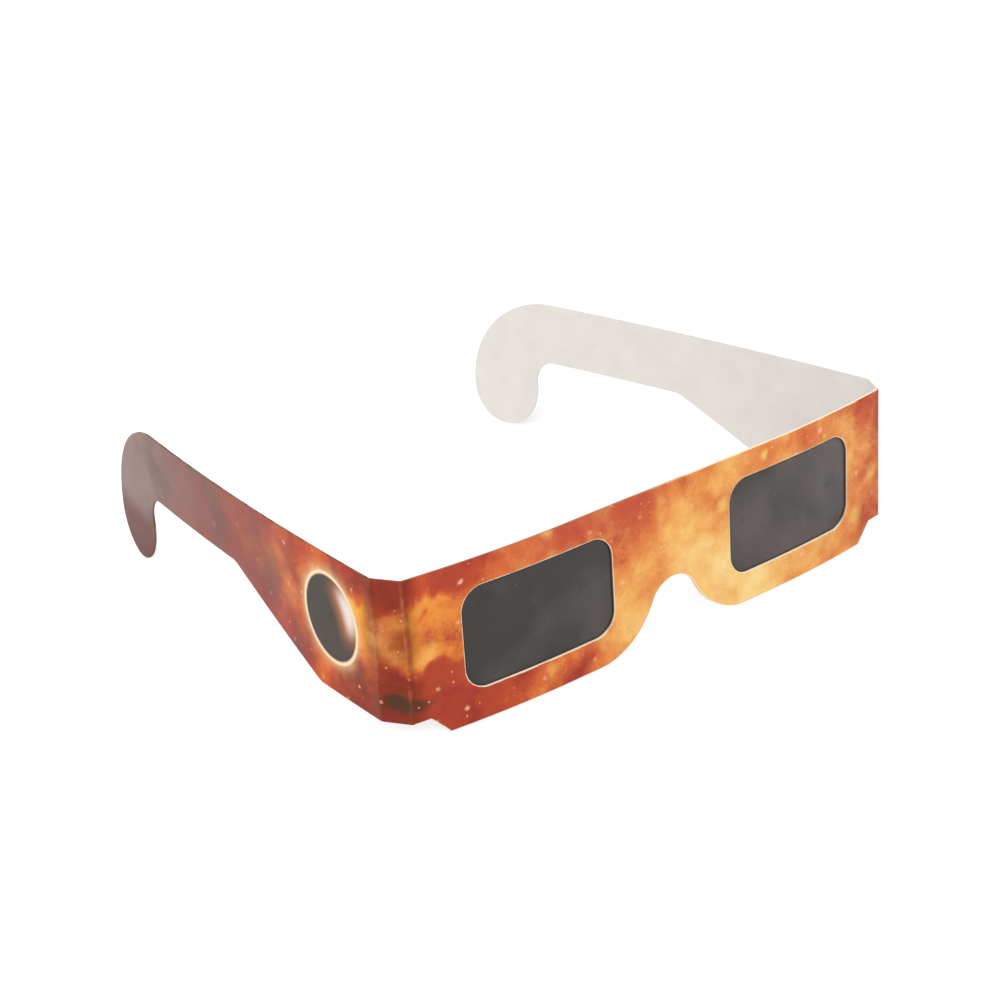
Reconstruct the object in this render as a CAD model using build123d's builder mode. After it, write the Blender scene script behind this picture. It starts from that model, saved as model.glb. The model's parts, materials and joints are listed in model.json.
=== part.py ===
from build123d import *

import os
from math import asin, atan2, cos, degrees, hypot, radians, sin, sqrt

# Paper viewing glasses: one die-cut sheet of card, creased and folded, with two dark filter films.
# The frame has +Z up and -Y to the front. The origin lies on the surface that the glasses stand on,
# under the middle of their outer box. All lengths are in millimetres and all angles in degrees.
# Left and right are the wearer's, so the left side has +X. Left pieces are made, then mirrored.

# Sheet thicknesses
card = 0.45
film = 0.1

# Front panel: its height, its creases, its slight bow and the cut under each corner
front_height = 35.4
crease_half = 68.0
flat_half = 28.0
bow_radius = 250.0
side_rise = 4.3
corner_ledge = 4.0
chamfer_run = 4.3

# Nose cut
nose_height = 13.8
nose_top_radius = 6.9
nose_half = 22.0

# Windows, films and adhesive, set out from the edges of the card
window_low = 7.1
window_top_margin = 6.0
window_side_margin = 12.55
window_corner = 5.2
film_margin = 3.5
film_nose_gap = 2.1
adhesive_inset = 1.0

# Inner ply, short of the outer one at its sides and top
back_side_inset = 2.0
back_top_inset = 0.3
back_corner = 1.5

# Corner strips and creases, as the glasses stand open
strip_width = 6.5
crease_clearance = 0.125
strip_heading = 60.0
temple_heading = 93.6

# Temples, with lengths measured back from the rear crease
temple_length = 124.6
temple_bow_radius = 880.0
underside_height = 19.6
slope_start = 22.8
slope_end = 57.0
knee_radius = 6.0
hook_width = 21.3
hook_tip_width = 9.9
hook_shoulder = 26.8
hook_back_height = 9.8
hook_notch_radius = 6.0
hook_notch_run = 0.9

# How far each cutting outline runs past the sheet
overrun = 12.0

quarter_turn = 90

# Sizes that follow from the ones above
stack = 2 * card + film
fold_radius = stack / 2
half_card = card / 2
crease_gap = half_card + crease_clearance
middle_radius = bow_radius - half_card
reach = crease_half - flat_half
fold_half = crease_half - corner_ledge - chamfer_run

# The bow ends one gap short of the crease: the sheet's middle runs on along its tangent to the crease.
bow_sweep = degrees(asin(reach / hypot(middle_radius, crease_gap)) - atan2(crease_gap, middle_radius))
bow_depth = half_card + middle_radius * (1 - cos(radians(bow_sweep))) + crease_gap * sin(radians(bow_sweep))

# The nose cut is a round top between two flares, each tangent to the bottom edge and to the top.
nose_top_height = nose_height - nose_top_radius
flare_radius = (nose_half**2 + nose_top_height**2 - nose_top_radius**2) / (2 * nose_height)

# Each film stands clear of the nose cut at the film's lower corner, and each window inside its film.
film_low = window_low - film_margin
nose_at_film = nose_half - sqrt(flare_radius**2 - (flare_radius - film_low) ** 2)
window_inner = nose_at_film + film_nose_gap + film_margin
window_outer = crease_half - window_side_margin
window_width = window_outer - window_inner
window_spacing = window_outer + window_inner
window_height = front_height - window_top_margin - window_low


def ahead(start, heading, distance):
    """The point that lies a distance from the start, along a heading in the XY plane."""
    return start + Vector(cos(radians(heading)), sin(radians(heading))) * distance


# The temple's chord turns half as far as its whole bow. The depth puts the origin under the box's middle.
chord_heading = temple_heading + degrees(temple_length / temple_bow_radius) / 2
front_crease_depth = bow_depth
rear_crease_depth = front_crease_depth + strip_width * sin(radians(strip_heading))
depth = rear_crease_depth
depth += temple_length * sin(radians(chord_heading))
depth -= half_card * cos(radians(chord_heading))
front_y = -depth / 2

front_crease = Vector(crease_half, front_y + front_crease_depth)
rear_crease = ahead(front_crease, strip_heading, strip_width)

# The elevation plane stands at the front face, with its own x along X and its own y up.
elevation = Plane(origin=(0, front_y, 0), x_dir=(1, 0, 0), z_dir=(0, -1, 0))

print(f"depth {depth:.3f}, front face at y {front_y:.3f}, bow sweep {bow_sweep:.3f}")
print(f"front crease {front_crease.X:.3f}, {front_crease.Y:.3f}")
print(f"rear crease {rear_crease.X:.3f}, {rear_crease.Y:.3f}, chord heading {chord_heading:.3f}")
print(f"window {window_width:.2f} by {window_height:.2f}, {window_inner:.2f} off the middle")


def layer_plan(near, far):
    """Plan of one layer of the front, between two depths behind the outer face."""
    bow_centre = (flat_half, front_y + bow_radius)
    with BuildSketch() as plan:
        with BuildLine():
            Line((0, front_y + near), (flat_half, front_y + near))
            outer = CenterArc(bow_centre, bow_radius - near, -quarter_turn, bow_sweep)
            Line((0, front_y + far), (flat_half, front_y + far))
            inner = CenterArc(bow_centre, bow_radius - far, -quarter_turn, bow_sweep)
            Line(outer @ 1, inner @ 1)
            mirror(about=Plane.YZ)
        make_face()
    return plan.sketch


def front_outline(half_width, top):
    """Elevation of the front: straight top, slanted lower corners and the nose cut."""
    top_centre = Vector(0, nose_top_height)
    towards_flare = (Vector(nose_half, flare_radius) - top_centre).normalized()
    meeting = top_centre + towards_flare * nose_top_radius
    with BuildSketch() as outline:
        with BuildLine():
            Polyline(
                (0, top),
                (half_width, top),
                (half_width, side_rise),
                (fold_half + chamfer_run, side_rise),
                (fold_half, 0),
                (nose_half, 0),
            )
            TangentArc((nose_half, 0), meeting, tangent=(-1, 0))
            TangentArc((0, nose_height), meeting, tangent=(1, 0))
            mirror(about=Plane.YZ)
        make_face()
    return outline.sketch


def back_outline():
    """Elevation of the inner ply, which stops short of the creases and just under the top edge."""
    with BuildSketch() as outline:
        add(front_outline(crease_half - back_side_inset, front_height - back_top_inset))
        fillet(outline.vertices().group_by(Axis.Y)[-1], back_corner)
    return outline.sketch


def window_pair():
    """Elevation of the two windows."""
    with BuildSketch() as windows:
        with Locations((0, window_low + window_height / 2)):
            with GridLocations(window_spacing, 0, 2, 1):
                RectangleRounded(window_width, window_height, window_corner)
    return windows.sketch


def film_pair():
    """Elevation of the two films, one margin larger than the windows all round."""
    with BuildSketch() as films:
        with Locations((0, window_low + window_height / 2)):
            with GridLocations(window_spacing, 0, 2, 1):
                Rectangle(window_width + 2 * film_margin, window_height + 2 * film_margin)
    return films.sketch


# Outer ply of the front, the printed face of the sheet
with BuildPart() as front_card:
    with BuildSketch(Plane.XY.offset(fold_radius)):
        add(layer_plan(0, card))
    extrude(amount=front_height - fold_radius)
    with BuildSketch(elevation):
        add(front_outline(crease_half + overrun, front_height))
    extrude(amount=overrun, both=True, mode=Mode.INTERSECT)
    with BuildSketch(elevation):
        add(window_pair())
    extrude(amount=overrun, both=True, mode=Mode.SUBTRACT)

# Inner ply, the flap that is folded up behind the outer ply
with BuildPart() as back_card:
    with BuildSketch(Plane.XY.offset(fold_radius)):
        add(layer_plan(card + film, stack))
    extrude(amount=front_height - fold_radius)
    with BuildSketch(elevation):
        add(back_outline())
    extrude(amount=overrun, both=True, mode=Mode.INTERSECT)
    with BuildSketch(elevation):
        add(window_pair())
    extrude(amount=overrun, both=True, mode=Mode.SUBTRACT)

# Adhesive between the plies, as thick as the films that it frames
with BuildPart() as adhesive_layer:
    with BuildSketch():
        add(layer_plan(card, card + film))
    extrude(amount=front_height)
    with BuildSketch(elevation):
        add(back_outline())
        offset(amount=-adhesive_inset)
    extrude(amount=overrun, both=True, mode=Mode.INTERSECT)
    with BuildSketch(elevation):
        add(film_pair())
    extrude(amount=overrun, both=True, mode=Mode.SUBTRACT)

# Filter film behind the left window
with BuildPart() as left_filter_film:
    with BuildSketch():
        add(layer_plan(card, card + film))
    extrude(amount=front_height)
    with BuildSketch(elevation):
        add(film_pair().faces().sort_by(Axis.X)[-1])
    extrude(amount=overrun, both=True, mode=Mode.INTERSECT)

# Bottom fold left of the nose: a half ring of card that turns from the outer ply to the inner one
with BuildPart() as left_bottom_fold:
    with BuildLine(Plane.XY.offset(fold_radius)):
        Line((0, front_y + fold_radius), (flat_half, front_y + fold_radius))
        CenterArc((flat_half, front_y + bow_radius), bow_radius - fold_radius, -quarter_turn, bow_sweep)
    section = Plane(origin=(0, front_y + fold_radius, fold_radius), x_dir=(0, 1, 0), z_dir=(1, 0, 0))
    with BuildSketch(section):
        Circle(fold_radius)
        Circle(film / 2, mode=Mode.SUBTRACT)
        Rectangle(stack, fold_radius, align=(Align.CENTER, Align.MIN), mode=Mode.SUBTRACT)
    sweep()
    with BuildSketch(elevation):
        add(front_outline(crease_half + overrun, front_height))
    extrude(amount=overrun, both=True, mode=Mode.INTERSECT)


def crease_bead(axis_point, heading):
    """Plan of a scored crease: a bead on the hinge axis, with a web back to the panel that carries it."""
    with BuildSketch(Plane(origin=axis_point, x_dir=ahead(Vector(), heading, 1))) as bead:
        Circle(half_card)
        Rectangle(crease_gap, card, align=(Align.MAX, Align.CENTER))
    return bead.sketch


# Scored crease between the front and the left corner strip
with BuildPart() as left_front_crease:
    with BuildSketch(Plane.XY.offset(side_rise)):
        add(crease_bead(front_crease, bow_sweep))
    extrude(amount=front_height - side_rise)

# Left corner strip, between its two creases
with BuildPart() as left_corner_strip:
    strip_start = front_crease + Vector(0, 0, side_rise)
    with BuildSketch(Plane(origin=strip_start, x_dir=ahead(Vector(), strip_heading, 1))):
        with Locations((strip_width / 2, 0)):
            Rectangle(strip_width - 2 * crease_gap, card)
    extrude(amount=front_height - side_rise)

# Scored crease between the left corner strip and the left temple
with BuildPart() as left_temple_crease:
    with BuildSketch(Plane.XY.offset(side_rise)):
        add(crease_bead(rear_crease, strip_heading))
    extrude(amount=front_height - side_rise)


def temple_outline():
    """Elevation of a temple: flared root, slope, straight arm and ear hook, with x back from the crease."""
    hook_front = temple_length - hook_width
    hook_tip = temple_length - hook_tip_width
    shoulder = temple_length - hook_shoulder
    notch_height = underside_height - hook_notch_radius - hook_notch_run
    tip_centre = (hook_tip, notch_height)
    tip_front = hook_tip - hook_front
    back_centre = (hook_tip, hook_back_height)
    shoulder_centre = (shoulder, hook_back_height)
    shoulder_rise = front_height - hook_back_height
    with BuildSketch() as outline:
        with BuildLine():
            Line((shoulder, front_height), (-overrun, front_height))
            Line((-overrun, front_height), (-overrun, side_rise))
            FilletPolyline(
                (-overrun, side_rise),
                (slope_start, side_rise),
                (slope_end, underside_height),
                (hook_front, underside_height),
                (hook_front, notch_height),
                radius=(knee_radius, knee_radius, hook_notch_radius),
            )
            EllipticalCenterArc(tip_centre, tip_front, notch_height, -quarter_turn, arc_size=-quarter_turn)
            EllipticalCenterArc(back_centre, hook_tip_width, hook_back_height, 0, arc_size=-quarter_turn)
            EllipticalCenterArc(shoulder_centre, hook_shoulder, shoulder_rise, 0, arc_size=quarter_turn)
        make_face()
    return outline.sketch


# Left temple: a gently bowed sheet cut to the outline with the ear hook
with BuildPart() as left_temple:
    root = ahead(rear_crease, temple_heading, crease_gap)
    bow_centre = ahead(root, temple_heading + quarter_turn, temple_bow_radius)
    bow_angle = degrees((temple_length + overrun) / temple_bow_radius)
    with BuildSketch():
        with BuildLine():
            from_root = temple_heading - quarter_turn
            inner = CenterArc(bow_centre, temple_bow_radius - half_card, from_root, bow_angle)
            outer = CenterArc(bow_centre, temple_bow_radius + half_card, from_root, bow_angle)
            Line(inner @ 0, outer @ 0)
            Line(inner @ 1, outer @ 1)
        make_face()
    extrude(amount=front_height)
    along = ahead(Vector(), chord_heading, 1)
    across = ahead(Vector(), chord_heading - quarter_turn, 1)
    with BuildSketch(Plane(origin=rear_crease, x_dir=along, z_dir=across)):
        add(temple_outline())
    extrude(amount=overrun, both=True, mode=Mode.INTERSECT)

middle_pieces = {
    "front_card": front_card,
    "back_card": back_card,
    "adhesive_layer": adhesive_layer,
}
left_pieces = {
    "bottom_fold": left_bottom_fold,
    "filter_film": left_filter_film,
    "front_crease": left_front_crease,
    "corner_strip": left_corner_strip,
    "temple_crease": left_temple_crease,
    "temple": left_temple,
}

os.makedirs("parts", exist_ok=True)

for name, piece in middle_pieces.items():
    piece.part.label = name
    export_step(piece.part, f"parts/{name}.step")

for name, piece in left_pieces.items():
    piece.part.label = f"left_{name}"
    export_step(piece.part, f"parts/left_{name}.step")
    with BuildPart() as twin:
        mirror(piece.part, about=Plane.YZ)
    twin.part.label = f"right_{name}"
    export_step(twin.part, f"parts/right_{name}.step")
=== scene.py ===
# %% [markdown]
# # Paper viewing glasses
# The real glasses are one die-cut sheet of printed card, creased and folded, with two dark filter
# films held between two layers of that card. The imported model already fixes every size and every
# joint, so this lesson only dresses it: first the room, then each panel, then the finishes.

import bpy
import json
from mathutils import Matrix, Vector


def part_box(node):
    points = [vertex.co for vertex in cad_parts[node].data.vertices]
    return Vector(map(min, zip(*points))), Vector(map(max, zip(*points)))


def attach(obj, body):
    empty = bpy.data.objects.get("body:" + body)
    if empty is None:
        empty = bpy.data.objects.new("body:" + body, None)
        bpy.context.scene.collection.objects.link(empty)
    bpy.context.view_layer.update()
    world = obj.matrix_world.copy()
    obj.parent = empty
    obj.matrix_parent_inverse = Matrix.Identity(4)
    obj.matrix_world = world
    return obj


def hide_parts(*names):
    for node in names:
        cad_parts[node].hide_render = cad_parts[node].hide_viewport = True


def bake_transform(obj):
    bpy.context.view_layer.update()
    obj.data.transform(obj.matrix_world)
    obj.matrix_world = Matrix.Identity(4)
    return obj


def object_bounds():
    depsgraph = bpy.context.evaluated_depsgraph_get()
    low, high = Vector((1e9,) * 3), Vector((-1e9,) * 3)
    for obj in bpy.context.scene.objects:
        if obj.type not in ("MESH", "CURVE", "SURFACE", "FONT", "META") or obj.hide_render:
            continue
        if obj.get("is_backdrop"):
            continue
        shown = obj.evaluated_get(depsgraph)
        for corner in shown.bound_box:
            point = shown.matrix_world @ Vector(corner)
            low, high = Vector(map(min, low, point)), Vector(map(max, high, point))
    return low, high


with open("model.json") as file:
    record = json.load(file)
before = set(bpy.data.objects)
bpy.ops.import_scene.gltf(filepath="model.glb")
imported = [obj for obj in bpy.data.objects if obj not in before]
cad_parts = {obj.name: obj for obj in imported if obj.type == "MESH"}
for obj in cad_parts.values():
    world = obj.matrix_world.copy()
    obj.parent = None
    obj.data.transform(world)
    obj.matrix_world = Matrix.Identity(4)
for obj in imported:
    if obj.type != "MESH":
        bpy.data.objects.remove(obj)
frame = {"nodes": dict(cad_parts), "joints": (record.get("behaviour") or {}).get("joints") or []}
cad_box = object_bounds()

# %% [markdown]
# Numpy works out whole surfaces at once, and Blender gets them as finished arrays. All lengths
# below are in millimetres, as on a drawing of the card, and one factor turns them into metres at
# the end.

# %% Bring in the tools
import json

import bpy
import numpy as np
from mathutils import Matrix

millimetre = 0.001
print("Blender", bpy.app.version_string, "with numpy", np.__version__)

# %% [markdown]
# ## The camera
# A small folded thing on a table is photographed from above one of its corners. A camera could be
# aimed with a constraint, but a fixed one is easier to repeat: its heading, its tilt down and its
# lean were found from the corners of the glasses, and its lens from how fast they shrink with
# distance.

# %% Set up the camera
camera_place = np.array([-292.66, -378.32, 216.29])
camera_heading, camera_tilt, camera_lean = np.radians([38.44, 23.18, -4.0])
image_side, focal_pixels, sensor_width = 1001, 2242.6, 36


def camera_axes(heading, tilt, lean):
    """Right, up and forward: forward is turned by the heading, then tipped down by the tilt.

    The other two stand square to it and are turned round it by the lean.
    """
    along, down = np.cos(tilt), np.sin(tilt)
    forward = np.array([np.sin(heading) * along, np.cos(heading) * along, -down])
    level = np.array([np.cos(heading), -np.sin(heading), 0.0])
    upright = np.cross(level, forward)
    right = np.cos(lean) * level + np.sin(lean) * upright
    up = np.cos(lean) * upright - np.sin(lean) * level
    return right, up, forward


right, up, forward = camera_axes(camera_heading, camera_tilt, camera_lean)
turn = Matrix(np.column_stack([right, up, -forward]).tolist()).to_4x4()
camera = bpy.data.objects.new("camera", bpy.data.cameras.new("camera"))
camera.matrix_world = Matrix.Translation((camera_place * millimetre).tolist()) @ turn
camera.data.sensor_width = sensor_width
camera.data.lens = focal_pixels / image_side * sensor_width
bpy.context.scene.collection.objects.link(camera)
bpy.context.scene.camera = camera
print(f"camera {np.linalg.norm(camera_place):.0f} mm away, lens {camera.data.lens:.1f} mm")

# %% [markdown]
# ## Building materials from nodes
# Every finish here is a small network of nodes. It could be linked up node by node, but then even
# a sum takes several lines. Here what a node sends out is kept as a Signal, and plain arithmetic
# on signals adds the Math nodes, so that a finish reads like the formula that it is.

# %% Turn arithmetic into nodes


class Signal:
    """What a node sends out: a number, a place or a colour. Each operator adds a Math node."""

    def __init__(self, made, output=0):
        self.tree, self.socket = made.id_data, made.outputs[output]

    def __add__(self, other):
        return compute("ADD", self, other)

    def __sub__(self, other):
        return compute("SUBTRACT", self, other)

    def __rsub__(self, other):
        return compute("SUBTRACT", other, self)

    def __mul__(self, other):
        return compute("MULTIPLY", self, other)

    def __truediv__(self, other):
        return compute("DIVIDE", self, other)

    def __lt__(self, other):
        return compute("LESS_THAN", self, other)

    def __gt__(self, other):
        return compute("GREATER_THAN", self, other)

    def __abs__(self):
        return compute("ABSOLUTE", self)


def add_node(tree, kind, inputs=None, **settings):
    """Adds a node, sets its properties, then fills each named input with a value or a signal."""
    made = tree.nodes.new(kind)
    for setting, value in settings.items():
        setattr(made, setting, value)
    for key, value in (inputs or {}).items():
        if isinstance(value, Signal):
            tree.links.new(value.socket, made.inputs[key])
        else:
            made.inputs[key].default_value = value
    return made


def compute(operation, *values):
    """Result of one Math node on one to three numbers or signals, in the tree of the signals."""
    tree = next(value.tree for value in values if isinstance(value, Signal))
    return Signal(add_node(tree, "ShaderNodeMath", dict(enumerate(values)), operation=operation))


def empty_tree(owner):
    """Node tree of a material or a world, emptied for a new network."""
    owner.use_nodes = True
    owner.node_tree.nodes.clear()
    return owner.node_tree


def start_material(name, **uniform):
    """A material with one Principled shader, whose uniform values are set on its own sockets."""
    material = bpy.data.materials.new(name)
    tree = empty_tree(material)
    values = {socket.replace("_", " "): value for socket, value in uniform.items()}
    shader = add_node(tree, "ShaderNodeBsdfPrincipled", values)
    add_node(tree, "ShaderNodeOutputMaterial", {0: Signal(shader)})
    return material, tree, shader


def feed(shader, **signals):
    """Links signals to the shader's sockets, whose names have an underscore for each space."""
    for socket, signal in signals.items():
        signal.tree.links.new(signal.socket, shader.inputs[socket.replace("_", " ")])


print("a signal takes part in +, -, *, /, <, > and abs")

# %% [markdown]
# The same few moves turn up in every finish. A colour is easiest to choose as it shows on a
# screen, but light adds up in linear values, so one helper turns the first into the second. Soft
# steps say where a thing begins and ends, and noise keeps it from looking drawn with a ruler.
# Each move is one helper, which keeps the finishes short.

# %% Helpers for colours and patterns


def from_srgb(red, green, blue):
    """Linear colour of a screen colour of 0 to 255: a line at the dark end, then a power of 2.4."""
    value = np.array([red, green, blue]) / 255
    linear = np.where(value <= 0.04045, value / 12.92, ((value + 0.055) / 1.055) ** 2.4)
    return (*linear.tolist(), 1.0)


def blend_colour(amount, first, second):
    """First colour with the second laid over it by an amount from 0 to 1.

    A colour is a signal, or a plain colour as it shows on a screen.
    """
    first, second = (ink if isinstance(ink, Signal) else from_srgb(*ink) for ink in (first, second))
    inputs = {0: amount, 6: first, 7: second}
    mixed = add_node(amount.tree, "ShaderNodeMix", inputs, data_type="RGBA", clamp_factor=True)
    return Signal(mixed, 2)


def colour_scale(value, stops):
    """A colour for each value, blended between stops of a place from 0 to 1 and a linear colour."""
    made = add_node(value.tree, "ShaderNodeValToRGB", {0: value})
    elements = made.color_ramp.elements
    while len(elements) < len(stops):
        elements.new(1.0)
    for element, (place, colour) in zip(elements, stops):
        element.position = place
        element.color = colour
    return Signal(made)


def smooth_step(value, low, high):
    """0 below low, 1 above high, and an S-shaped rise between; with low above high it falls."""
    inputs = {"Value": value, "From Min": low, "From Max": high}
    made = add_node(value.tree, "ShaderNodeMapRange", inputs, interpolation_type="SMOOTHSTEP")
    return Signal(made)


def span(value, start, full, fading, end):
    """0 up to start, 1 from full to fading, 0 again from end on: a rising times a falling step."""
    return smooth_step(value, start, full) * smooth_step(value, end, fading)


def near(value, middle, gone, full):
    """1 within full of a middle and 0 further than gone from it: a step on the distance to it."""
    return smooth_step(abs(value - middle), gone, full)


def cloud(place, scale, detail=3.0, roughness=0.5):
    """Soft noise from 0 to 1 with features about 1/scale across."""
    inputs = {"Vector": place, "Scale": scale, "Detail": detail, "Roughness": roughness}
    return Signal(add_node(place.tree, "ShaderNodeTexNoise", inputs))


def sway(place, scale, size, **texture):
    """A cloud less one half, times a size: it runs about zero."""
    return (cloud(place, scale, **texture) - 0.5) * size


def mapped(place, **change):
    """Place moved, turned or scaled by a Mapping node."""
    return Signal(add_node(place.tree, "ShaderNodeMapping", {"Vector": place, **change}))


def axes_of(place):
    """The three coordinates of a place."""
    made = add_node(place.tree, "ShaderNodeSeparateXYZ", {0: place})
    return [Signal(made, axis) for axis in range(3)]


def sheet_place(tree):
    """Point on the flat, unfolded sheet in millimetres, read from the pieces' own UV map."""
    metres = Signal(add_node(tree, "ShaderNodeUVMap", uv_map="sheet"))
    return mapped(metres, Scale=(1 / millimetre,) * 3)


def cut_distance(tree):
    """Distance in millimetres to the nearest cut, which the pieces carry as an attribute."""
    return Signal(add_node(tree, "ShaderNodeAttribute", attribute_name="edge_distance"), "Fac")


def bumped(height, metres, strength):
    """Slope of a surface whose height is a signal times a depth in metres, weakened by strength."""
    inputs = {"Height": height, "Distance": metres, "Strength": strength}
    return Signal(add_node(height.tree, "ShaderNodeBump", inputs))


print("half way up on a screen is", round(from_srgb(128, 128, 128)[0], 3), "in linear light")

# %% [markdown]
# ## Light and floor
# Paper is matte and thin, so it wants light from all round. One strong lamp would draw hard
# shadows. Here a pale sky gives the level, and two broad lamps add a soft direction. Rays that
# the camera sends straight into the sky find it white, so the page behind the glasses is white
# too.

# %% Light the room
sky_level = 0.74
white = (1, 1, 1, 1)
scene = bpy.context.scene
scene.view_settings.view_transform = "Standard"


def seen_directly(tree):
    """1 for rays from the camera, a sharp reflection or a clear piece, 0 for rays of light."""
    path = add_node(tree, "ShaderNodeLightPath")
    glossy, clear = Signal(path, "Is Glossy Ray"), Signal(path, "Is Transmission Ray")
    return compute("MAXIMUM", Signal(path, "Is Camera Ray"), compute("MAXIMUM", glossy, clear))


def lamp_axes(towards):
    """Right, up and back of a lamp that shines along a direction."""
    level_axis = np.cross(towards, [0.0, 0.0, 1.0])
    level_axis /= np.linalg.norm(level_axis)
    return level_axis, np.cross(level_axis, towards), -towards


def add_lamp(name, place, side, power):
    """A square soft lamp at a place in metres, facing the glasses."""
    lamp = bpy.data.lights.new(name, "AREA")
    lamp.size = side
    lamp.energy = power
    made = bpy.data.objects.new(name, lamp)
    towards = -np.array(place) / np.linalg.norm(place)
    made.rotation_euler = Matrix(np.column_stack(lamp_axes(towards)).tolist()).to_euler()
    made.location = place
    scene.collection.objects.link(made)


scene.world = bpy.data.worlds.new("studio")
sky = empty_tree(scene.world)
brightness = seen_directly(sky) * (1 - sky_level) + sky_level
background = add_node(sky, "ShaderNodeBackground", {"Color": white, "Strength": brightness})
add_node(sky, "ShaderNodeOutputWorld", {0: Signal(background)})
add_lamp("key_lamp", (-0.55, -0.75, 0.95), side=0.9, power=7.2)
add_lamp("back_lamp", (-0.95, 0.55, 0.6), side=0.8, power=1.8)
print("sky level", sky_level, "and", len(bpy.data.lights), "lamps")

# %% [markdown]
# The floor has to look as white as the page but still catch a shadow. A brighter lamp would
# bleach the card too. Instead the floor glows only for rays that come straight from the camera or
# from a mirror-like reflection, and its own pale surface still takes the shadow.

# %% Lay the floor
floor_half, floor_grey, floor_glow = 4.0, 0.8, 0.42
floor_material = bpy.data.materials.new("pale_floor")
tree = empty_tree(floor_material)
pale = add_node(tree, "ShaderNodeBsdfDiffuse", {"Color": (floor_grey, floor_grey, floor_grey, 1)})
brightness = seen_directly(tree) * floor_glow
glow = add_node(tree, "ShaderNodeEmission", {"Color": white, "Strength": brightness})
both = add_node(tree, "ShaderNodeAddShader", {0: Signal(pale), 1: Signal(glow)})
add_node(tree, "ShaderNodeOutputMaterial", {0: Signal(both)})

floor_mesh = bpy.data.meshes.new("floor")
corners = [(floor_half * a, floor_half * b, 0) for a, b in ((-1, -1), (1, -1), (1, 1), (-1, 1))]
floor_mesh.from_pydata(corners, [], [(0, 1, 2, 3)])
floor_mesh.materials.append(floor_material)
floor = bpy.data.objects.new("floor", floor_mesh)
scene.collection.objects.link(floor)
floor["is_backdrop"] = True
print("floor", 2 * floor_half, "m across, glow", floor_glow)

# %% [markdown]
# ## The sheet, lying flat
# Print runs straight across a crease, because the card is printed before it is cut and folded. So
# each piece gets a UV map in the coordinates of the flat sheet: u runs along the glasses from the
# middle of the bridge, to the wearer's left, and v runs up. The finishes then read those
# coordinates, and colours match at every fold without any fitting.
#
# The sizes are those of the card. The places of the two creases come from the joints themselves.

# %% Sizes of the card
sides = {"left": 1, "right": -1}
card, film = 0.45, 0.1
front_height, flat_half, bow_radius = 35.4, 28.0, 250.0
side_rise, fold_half, chamfer_run = 4.3, 59.7, 4.3
nose_height, nose_top_radius, nose_half = 13.8, 6.9, 22.0
crease_gap = 0.35
fold_radius = (2 * card + film) / 2

front_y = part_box("front_card")[0].y / millimetre
places = {joint["name"]: np.array(joint["pos_m"][:2]) / millimetre for joint in frame["joints"]}
front_crease = places["left_front_fold"]
rear_crease = places["left_temple_fold"]
crease_half = front_crease[0]
strip_width = np.linalg.norm(rear_crease - front_crease)
middle_radius = bow_radius - card / 2
reach = crease_half - flat_half
gap_turn = np.arctan2(crease_gap, middle_radius)
bow_turn = np.arcsin(reach / np.hypot(middle_radius, crease_gap)) - gap_turn
front_end = flat_half + bow_radius * np.sin(bow_turn)
print(f"front {2 * front_end:.2f} mm wide, strip {strip_width:.2f} mm")
print(f"each end of the front turns {np.degrees(bow_turn):.2f} degrees")

# %% [markdown]
# Card has a thickness, a printed side, a bare side and a cut edge. Blender's Solidify modifier
# could thicken one surface, but here both sides are known exactly, so both are computed. The
# helpers below join the grids of a piece, turn every face the right way by the sign of its area
# on the flat sheet, and close the card with a narrow wall wherever an edge has a face on one side
# only.

# %% Turn grids into card
weld_step, weld_shift = 0.002, 0.137
sharp_angle = np.radians(48)


def grid_faces(rows, columns, first):
    """Four corners of each cell of a grid of points that are numbered row by row from first."""
    index = np.arange(rows * columns).reshape(rows, columns) + first
    corners = [index[:-1, :-1], index[1:, :-1], index[1:, 1:], index[:-1, 1:]]
    return np.stack(corners, -1).reshape(-1, 4)


def weld(patches):
    """Joins grids: points of the printed side that round to the same step become one point.

    Cells are turned where their area on the sheet is negative. A cell with one side closed up
    becomes a triangle, made of the three corners after the repeated one.
    """
    shapes = [patch["flat"].shape[:2] for patch in patches]
    starts = np.cumsum([0] + [rows * columns for rows, columns in shapes])
    cells = np.concatenate([grid_faces(*shape, start) for shape, start in zip(shapes, starts)])
    stacked = {}
    for key, values in patches[0].items():
        rows = [patch[key].reshape(-1, values.shape[-1]) for patch in patches]
        stacked[key] = np.concatenate(rows)
    keys = np.round(stacked["outer"] / weld_step + weld_shift).astype(np.int64)
    kept, number = np.unique(keys, axis=0, return_index=True, return_inverse=True)[1:]
    cells = number.reshape(-1)[cells]
    stacked = {key: values[kept] for key, values in stacked.items()}
    u, v = np.moveaxis(stacked["flat"][cells], -1, 0)
    area = (u * (np.roll(v, -1, 1) - np.roll(v, 1, 1))).sum(1)
    cells = np.where(area[:, None] < 0, cells[:, ::-1], cells)
    repeats = (cells == np.roll(cells, -1, 1)).sum(1)
    pinched = cells[repeats == 1]
    where = (pinched == np.roll(pinched, -1, 1)).argmax(1)
    triangles = np.take_along_axis(pinched, (where[:, None] + np.array([1, 2, 3])) % 4, 1)
    return stacked, cells[repeats == 0], triangles


def open_edges(quads, triangles):
    """Pairs of points, in the direction of their face, of the edges that no second face shares."""
    pairs = [np.stack([faces, np.roll(faces, -1, 1)], -1) for faces in (quads, triangles)]
    edges = np.concatenate([pair.reshape(-1, 2) for pair in pairs])
    size = edges.max() + 1
    return edges[~np.isin(edges[:, 0] * size + edges[:, 1], edges[:, 1] * size + edges[:, 0])]


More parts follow.
